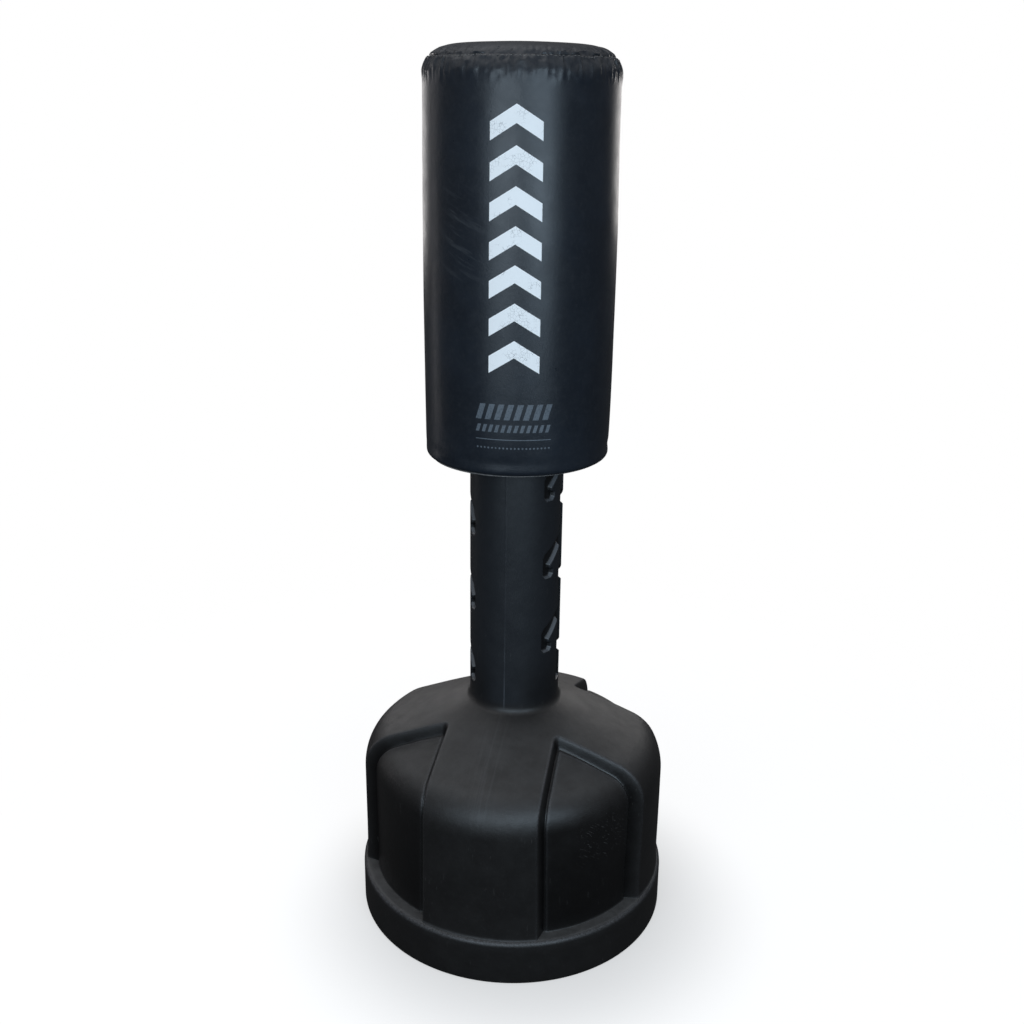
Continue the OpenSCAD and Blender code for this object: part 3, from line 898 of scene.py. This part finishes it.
def tank_look():
    """Blow-moulded black polyethylene: fine grain, dust on ledges, worn edges and scratches; painted
    highlight on edges and ledges, painted shade in recesses and low on the post, and a painted bluish
    reflection on the post.
    """
    look = Look("tank_plastic_look", (0.0095, 0.0088, 0.0086), 0.5, Specular_IOR_Level=0.47)
    radius = distance(look.x, look.y)
    post = look.z.rise(455, 480) * radius.rise(110, 95)
    patches = look.noise(70, 3)
    look.paint(patches.rise(0.35, 0.7) * 0.7, (0.0130, 0.0121, 0.0118))
    look.paint(look.noise(9, 4, roughness=0.7).rise(0.5, 0.72) * 0.3, (0.021, 0.0198, 0.0194))
    # painted bluish reflection over the post's satin plastic
    look.paint(post * 0.85, (0.0125, 0.0148, 0.0185))
    # pale wear with painted highlight on edges, and dust that settles on what faces up
    fleck = look.noise(2.6, 4, roughness=0.75)
    look.paint(look.attribute("wear_and_highlight") * fleck.rise(0.35, 0.65) * 0.75, (0.085, 0.086, 0.092))
    settled = look.attribute("dust") * (look.noise(38, 5, roughness=0.65).rise(0.25, 0.75) * 0.6 + 0.4)
    look.paint(settled * 0.8, (0.085, 0.082, 0.08))
    # painted shade in the panels' grooves and recesses
    look.paint(look.attribute("recess_shade") * 0.9, (0.0022, 0.0021, 0.0022))
    # rubbed streaks down the front of the cone and along the parting line of the post
    streak = look.noise(7, 3, place=look.stretched(1, 0.03, 0.03), roughness=0.6)
    front = (look.x + 6).size().rise(40, 4) * look.y.rise(10, -60)
    look.paint(front * streak.rise(0.4, 0.7) * look.z.between(345, 440, 40) * 0.13,
               (0.125, 0.125, 0.132))
    parting = (look.x + look.noise(30, 2) * 0.8).size().rise(1.7, 0.5) * look.y.rise(10, -60)
    look.paint(parting * look.z.rise(455, 470) * look.noise(40, 3).rise(0.3, 0.6)
               * (look.z.rise(640, 500) * 0.2 + 0.06), (0.16, 0.17, 0.19))
    # painted shade low on the post's left and right sides and in its pockets, and painted highlight on the
    # pockets' ledges that face up
    look.paint(post * look.z.rise(600, 470) * look.x.size().rise(14, 50) * 0.6, (0.003, 0.003, 0.0032))
    sink = radius * -1 + POST_R
    look.paint(post * sink.rise(1.2, 4.5) * 0.9, (0.0016, 0.0016, 0.0019))
    painted_highlight = sink.rise(0.3, 1.4) * sink.rise(8.0, 5.5) * look.upward().rise(0.1, 0.5)
    look.paint(post * look.z.rise(492, 498) * painted_highlight * 0.6, (0.14, 0.147, 0.16))
    # scratches in a patch on one panel, and stray ones everywhere
    slanted = look.combine(look.x * 0.85 + look.z * 0.85, look.y * 0.2, look.z * 0.05 - look.x * 0.05)
    scratch = look.noise(2.2, 3, place=slanted, roughness=0.7).rise(0.615, 0.66)
    patch = (look.x - 212).size().rise(52, 14) * (look.z - 262).size().rise(60, 18) * look.y.rise(0, -90)
    look.paint(scratch * patch * 0.35, (0.16, 0.155, 0.15))
    stray = look.noise(1.6, 2, place=look.stretched(1, 1, 0.06)).rise(0.70, 0.73)
    look.paint(stray * look.noise(60, 1).rise(0.5, 0.62) * 0.35, (0.12, 0.115, 0.11))
    grain = look.noise(1.1, 3, roughness=0.6)
    look.roughen(look.noise(24, 4) * 0.22 + 0.33 + settled * 0.25 - look.attribute("recess_shade") * 0.13)
    look.bump(grain, 0.35, 0.55)
    look.bump(look.noise(14, 3), 0.9, 0.35)
    return look


def vinyl_look():
    """Black-blue coated fabric with leather grain, smudges, scuffs and a plain printed pattern; painted
    highlight on the gathers under the seam and painted shade on the top.
    """
    look = Look("vinyl_look", (0.0100, 0.0132, 0.0185), 0.4, Specular_IOR_Level=0.42)
    turn = look.x.maths("ARCTAN2", look.y * -1)
    arc_at = turn * PRINT_R
    look.paint(look.noise(85, 4, roughness=0.6).rise(0.38, 0.68) * 0.75, (0.0135, 0.0180, 0.0255))
    look.paint(look.noise(22, 5, roughness=0.7).rise(0.5, 0.75) * 0.35, (0.021, 0.025, 0.031))
    look.paint(look.noise(8, 5, roughness=0.7).rise(0.45, 0.7) * 0.35, (0.024, 0.027, 0.032))
    slanted = look.combine(arc_at * 0.1 - look.z * 0.05, look.z * 0.8 + arc_at * 0.38, look.y * 0.02)
    scuff = look.noise(9, 4, place=slanted, roughness=0.6).rise(0.5, 0.66)
    where = (arc_at + 62).size().rise(62, 20) * (look.z - 1360).size().rise(105, 30)
    look.paint(scuff * where * 0.5, (0.05, 0.055, 0.062))
    # painted highlight: the gathers under the top seam are painted paler
    painted_highlight = look.z.between(1612, 1646, 10) * look.noise(11, 4).rise(0.3, 0.65)
    look.paint(painted_highlight * 0.55, (0.045, 0.045, 0.047))
    rubs = look.noise(2.4, 3, place=look.stretched(1, 1, 0.08)).rise(0.66, 0.72)
    look.paint(rubs * look.noise(95, 1).rise(0.5, 0.6) * 0.3, (0.045, 0.05, 0.056))
    mark = main_print(look, arc_at)
    small = small_print(look, arc_at)
    cracks = look.cells(5.5, "DISTANCE_TO_EDGE").rise(0.035, 0.012) * look.noise(30, 2).rise(0.5, 0.6)
    whole = cracks * -0.55 + 1
    look.paint(mark * whole, (0.93, 0.93, 0.93))
    look.paint(small * whole * (look.noise(3.0, 4).rise(0.25, 0.55) * 0.45 + 0.5), (0.105, 0.125, 0.148))
    grain = look.cells(1.5).maths("SQRT")
    ink = mark.either(small)
    # painted shade: the top of the bag is painted darker, and made duller
    crown = look.z.rise(1642, 1656)
    look.paint(crown * 0.5, (0.006, 0.007, 0.009))
    look.roughen(look.noise(34, 4, roughness=0.6) * 0.26 + 0.2 + ink * 0.15 + crown * 0.28)
    look.bump(grain, 0.22, 0.5)
    look.bump(look.noise(4.2, 3), 0.35, 0.3)
    look.bump(ink, 0.12, 0.6)
    return look


def repeat(field, pitch):
    """Distance from the start of each repeat, always from 0 to pitch."""
    return field.maths("FLOORED_MODULO", pitch)


def main_print(look, arc_at):
    """A column of chevrons, pointing up."""
    across = (arc_at - PRINT_S).size()
    up = look.z + across * CHEVRON_RISE - (PRINT_Z + CHEVRON_RISE * PRINT_HALF_W)
    lines = repeat(up, CHEVRON_PITCH).between(0, CHEVRON_STROKE, PRINT_EDGE)
    column = up.between(0, CHEVRON_PITCH * (CHEVRONS - 1) + CHEVRON_STROKE, PRINT_EDGE)
    return lines * column * across.rise(PRINT_HALF_W + PRINT_EDGE, PRINT_HALF_W - PRINT_EDGE)


def small_print(look, arc_at):
    """Rows of slanted bars above a line and a row of dots."""
    left = arc_at - (PRINT_S - SMALL_HALF_W)
    sides = left.between(0, 2 * SMALL_HALF_W, PRINT_EDGE)
    line = (look.z - (SMALL_Z + 20)).size().rise(1.0, 0.5)
    dots = distance(repeat(left, 6.6) - 3.3, look.z - (SMALL_Z + 5)).rise(1.9, 1.4)
    total = line.either(dots) * sides
    for foot, top, pitch, width, count in BAR_ROWS:
        up = look.z - (SMALL_Z + foot)
        slanted = left - up * BAR_SLANT + 0.5
        bars = repeat(slanted, pitch).between(0.5, width, PRINT_EDGE)
        row = bars * up.between(0, top - foot, PRINT_EDGE)
        total = total.either(row * slanted.between(0, pitch * count - 1, PRINT_EDGE))
    return total


plastic_look = tank_look()
vinyl = vinyl_look()


def weathered_base(obj):
    """Marks the base's worn edges, which also carry painted highlight, its dusty ledges and the painted
    shade in its panels' recesses, which its material reads.
    """
    co = vertex_values(obj.data, "co") / MM
    up = vertex_values(obj.data, "normal")[:, 2]
    r, z = np.hypot(co[:, 0], co[:, 1]), co[:, 2]
    half = np.array([rib_half_width(a, b) for a, b in zip(r, z)])
    into = into_panel(np.abs(co[:, 0]) - half, np.abs(co[:, 1]) - half)
    on_wall = (z > LIP_H + 1) & (r > 130)
    # wear and painted highlight: pale along the panels' edges, more where they face up, and along the lip's
    # top edge
    edge = bell(into + 1.5, 2.2) * 0.8 + bell(into - 12.5, 2.4)
    wear_and_highlight = np.where(on_wall, edge * (0.25 + 0.75 * np.clip(up * 1.6, 0, 1)), 0)
    wear_and_highlight = np.maximum(wear_and_highlight, bell(r - (LIP_R - 4), 4) * bell(z - (LIP_H - 4), 5))
    ledge = (np.abs(z - LIP_H) < 3) & (r < LIP_R - 6) & (r > 270)
    on_top = np.clip((up - 0.6) * 1.6, 0, 0.4) * ramp(r, 92, 152) * (z > LIP_H + 1)
    dust = np.maximum(np.where(ledge, np.clip(up * 1.5, 0, 1), 0), on_top)
    # painted shade: a dark line in the groove beside the ribs, and the recessed panel faces that face
    # sideways or down, more so low down
    inside = ramp(into, 5, 16) * np.clip(1 - 1.6 * up, 0, 1) * (0.5 + 0.5 * ramp(z, 300, 130))
    recess_shade = np.where(on_wall, np.maximum(bell(into - 5.5, 3.5), 0.9 * inside), 0)
    for name, values in (("wear_and_highlight", wear_and_highlight), ("dust", dust), ("recess_shade", recess_shade)):
        layer = obj.data.attributes.new(name, "FLOAT", "POINT")
        layer.data.foreach_set("value", values.astype(np.float32))


weathered_base(base)
plastic_look.put_on(base)
vinyl.put_on(cover_side, cover_top, cover_bottom)


def thread_look():
    look = Look("thread_look", (0.11, 0.105, 0.1), 0.75)
    look.paint(look.noise(3, 3).rise(0.35, 0.65), (0.2, 0.19, 0.185))
    look.bump(look.noise(0.4, 1), 0.1)
    return look


def foam_look(name, color, darker, cell):
    """Cut open-cell foam."""
    look = Look(name, color, 0.95, Specular_IOR_Level=0.1)
    pores = look.cells(cell)
    look.paint(pores.rise(0.35, 0.1) * 0.7, darker)
    look.paint(look.noise(60, 3).rise(0.45, 0.7) * 0.4, tuple(0.8 * c for c in color))
    look.bump(pores, cell * 0.3)
    return look


def moulded_look(name, color, roughness, grain=1.0, scuffed=0.3, tint=1.7):
    """Injection-moulded plastic or rubber: fine grain, cloudy colour and light scuffs."""
    look = Look(name, color, roughness, Specular_IOR_Level=0.4)
    lighter = tuple(tint * c for c in color)
    look.paint(look.noise(18, 4).rise(0.4, 0.7) * 0.6, lighter)
    scuffs = look.noise(1.2, 3, place=look.stretched(1, 1, 0.15)).rise(0.62, 0.7)
    look.paint(scuffs * scuffed, tuple(2.2 * c for c in lighter))
    look.roughen(look.noise(9, 4) * 0.25 + (roughness - 0.12))
    look.bump(look.noise(grain, 3), 0.2, 0.6)
    return look


def steel_look(name, color, roughness):
    """Zinc-plated steel, brushed by wear, with darker spots."""
    look = Look(name, color, roughness, Metallic=1.0)
    look.paint(look.noise(3, 4).rise(0.5, 0.75) * 0.6, tuple(0.55 * c for c in color))
    brushed = look.noise(0.5, 2, place=look.stretched(0.06, 1, 1))
    look.roughen(brushed * 0.3 + (roughness - 0.13))
    look.bump(brushed, 0.05, 0.5)
    return look


def water_look():
    """The fill inside the tank: still water."""
    look = Look("water_look", (0.35, 0.5, 0.52), 0.08, Transmission_Weight=0.9, IOR=1.333)
    look.paint(look.noise(120, 3).rise(0.4, 0.7) * 0.5, (0.25, 0.42, 0.42))
    look.bump(look.noise(45, 2), 0.8, 0.3)
    return look


water_look().put_on(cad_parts["ballast"])
thread_look().put_on(seam_thread, welt)
foam_look("soft_foam_look", (0.33, 0.36, 0.38), (0.12, 0.13, 0.14), 1.6).put_on(foam_outer, foam_pad)
foam_look("firm_foam_look", (0.62, 0.53, 0.3), (0.3, 0.24, 0.12), 1.1).put_on(foam_inner)
for looks, names in (
        (moulded_look("core_plastic_look", (0.03, 0.03, 0.032), 0.45), ("core_tube", "core_cap")),
        (moulded_look("ring_plastic_look", (0.022, 0.022, 0.023), 0.5), ("retaining_ring",)),
        (moulded_look("gasket_rubber_look", (0.012, 0.012, 0.012), 0.75, 0.5, 0.1), ("cap_gasket",)),
        (steel_look("peg_steel_look", (0.62, 0.62, 0.63), 0.32), ("lock_peg_left", "lock_peg_right")),
        (steel_look("screw_steel_look", (0.5, 0.5, 0.52), 0.38), ("peg_screws", "retaining_screws")),
        (moulded_look("cap_plastic_look", (0.014, 0.014, 0.015), 0.45, 0.8), ("fill_cap",))):
    looks.put_on(*(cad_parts[node] for node in names))


# ---------------------------------------------------------------- camera, floor and light
CAMERA_AZIMUTH = math.radians(12.6)
CAMERA_PITCH = math.radians(18.856)
CAMERA_ROLL = math.radians(0.676)
CAMERA_HEIGHT = 1.54345
CAMERA_DISTANCE = 2.0823
CAMERA_OFFSET = -0.0083
CAMERA_LENS = 40.79
FLOOR_R = 1.9
FLOOR_SHADE = 0.35      # how much of the light on the floor comes from the lamps
FLOOR_GLOW = 1.24

camera_data = bpy.data.cameras.new("camera")
camera_data.lens = CAMERA_LENS
camera_data.sensor_width = 36
camera = bpy.data.objects.new("camera", camera_data)
bpy.context.scene.collection.objects.link(camera)
camera.matrix_world = (Matrix.Rotation(CAMERA_AZIMUTH, 4, "Z")
                       @ Matrix.Translation((CAMERA_OFFSET, -CAMERA_DISTANCE, CAMERA_HEIGHT))
                       @ Matrix.Rotation(math.pi / 2 - CAMERA_PITCH, 4, "X")
                       @ Matrix.Rotation(CAMERA_ROLL, 4, "Z"))
bpy.context.scene.camera = camera


def area_light(name, azimuth, elevation, distance, size, power, color=(1, 1, 1)):
    """Soft light aimed at the middle of the object, placed by azimuth from the front."""
    data = bpy.data.lights.new(name, "AREA")
    data.shape = "RECTANGLE"
    data.size, data.size_y = size
    data.energy = power
    data.color = color
    light = bpy.data.objects.new(name, data)
    light.visible_camera = False
    bpy.context.scene.collection.objects.link(light)
    target = Vector((0, 0, 0.8))
    a, e = math.radians(azimuth), math.radians(elevation)
    place = target + distance * Vector((math.sin(a) * math.cos(e), -math.cos(a) * math.cos(e),
                                        math.sin(e)))
    light.location = place
    light.rotation_euler = (target - place).to_track_quat("-Z", "Y").to_euler()
    return light


def build_floor():
    """A pale disc under the object that only softens into shade near it, and fades out at its edge."""
    mesh = bpy.data.meshes.new("floor")
    angles = np.linspace(0, 2 * math.pi, 97)[:-1]
    mesh.from_pydata([(FLOOR_R * math.cos(a), FLOOR_R * math.sin(a), 0) for a in angles],
                     [], [tuple(range(len(angles)))])
    obj = bpy.data.objects.new("floor", mesh)
    bpy.context.scene.collection.objects.link(obj)
    look = Look("floor_look", (0.8, 0.8, 0.8), 0.9, Specular_IOR_Level=0.0)
    # the glow is weaker near the object, as if in its shade
    shaded = distance(look.x - 35, look.y + 45).rise(240, 530) * 0.32 + 0.68
    glow = look.add("Emission", (("Strength", shaded * FLOOR_GLOW),))
    floor = look.add("MixShader", (("Fac", FLOOR_SHADE), (1, glow.outputs[0]),
                                   (2, look.shader.outputs[0])))
    edge = distance(look.x, look.y).rise(FLOOR_R * 350, FLOOR_R * 950)
    clear = look.add("BsdfTransparent")
    fade = look.add("MixShader", (("Fac", edge), (1, floor.outputs[0]), (2, clear.outputs[0])))
    look.tree.links.new(fade.outputs[0], look.tree.nodes["Material Output"].inputs["Surface"])
    obj.data.materials.append(look.material)
    obj.visible_diffuse = False
    obj.visible_glossy = False


def build_world():
    """White behind everything; what lights the object is bright above and dim below."""
    world = bpy.data.worlds.new("studio")
    world.use_nodes = True
    tree = world.node_tree
    place = add_node(tree, "TexCoord").outputs["Generated"]
    split = add_node(tree, "SeparateXYZ", ((0, place),))
    height = Field(tree, split.outputs["Z"]) * 0.5 + 0.5
    ramp = add_node(tree, "ValToRGB", (("Fac", height),))
    stops = ((0.0, 0.02), (0.46, 0.05), (0.56, 0.12), (0.75, 0.33), (1.0, 0.5))
    for _ in range(len(stops) - 2):
        ramp.color_ramp.elements.new(0.5)
    for element, (position, level) in zip(ramp.color_ramp.elements, stops):
        element.position = position
        element.color = (level * 0.97, level * 0.99, level * 1.04, 1)
    background = tree.nodes["Background"]
    tree.links.new(ramp.outputs["Color"], background.inputs["Color"])
    white = add_node(tree, "Background", (("Color", (1, 1, 1, 1)),))
    seen = add_node(tree, "LightPath").outputs["Is Camera Ray"]
    mix = add_node(tree, "MixShader", (("Fac", seen), (1, background.outputs[0]), (2, white.outputs[0])))
    tree.links.new(mix.outputs[0], tree.nodes["World Output"].inputs["Surface"])
    bpy.context.scene.world = world


build_floor()
build_world()
bpy.context.scene.view_settings.view_transform = "Standard"

area_light("top_light", -70, 72, 3.0, (2.6, 2.6), 15)
area_light("window_light", 34, 14, 2.7, (1.4, 1.3), 27, (0.66, 0.84, 1.0))
area_light("front_light", -5, 13, 3.0, (1.7, 1.4), 32, (0.70, 0.86, 1.0))
area_light("left_light", -104, 8, 2.8, (0.3, 2.2), 2.8, (1.0, 0.96, 0.97))
area_light("back_light", 175, 14, 3.2, (3.0, 1.0), 20, (1.0, 0.97, 0.95))
area_light("back_left_light", -140, 12, 3.0, (1.6, 0.9), 8, (1.0, 0.97, 0.97))
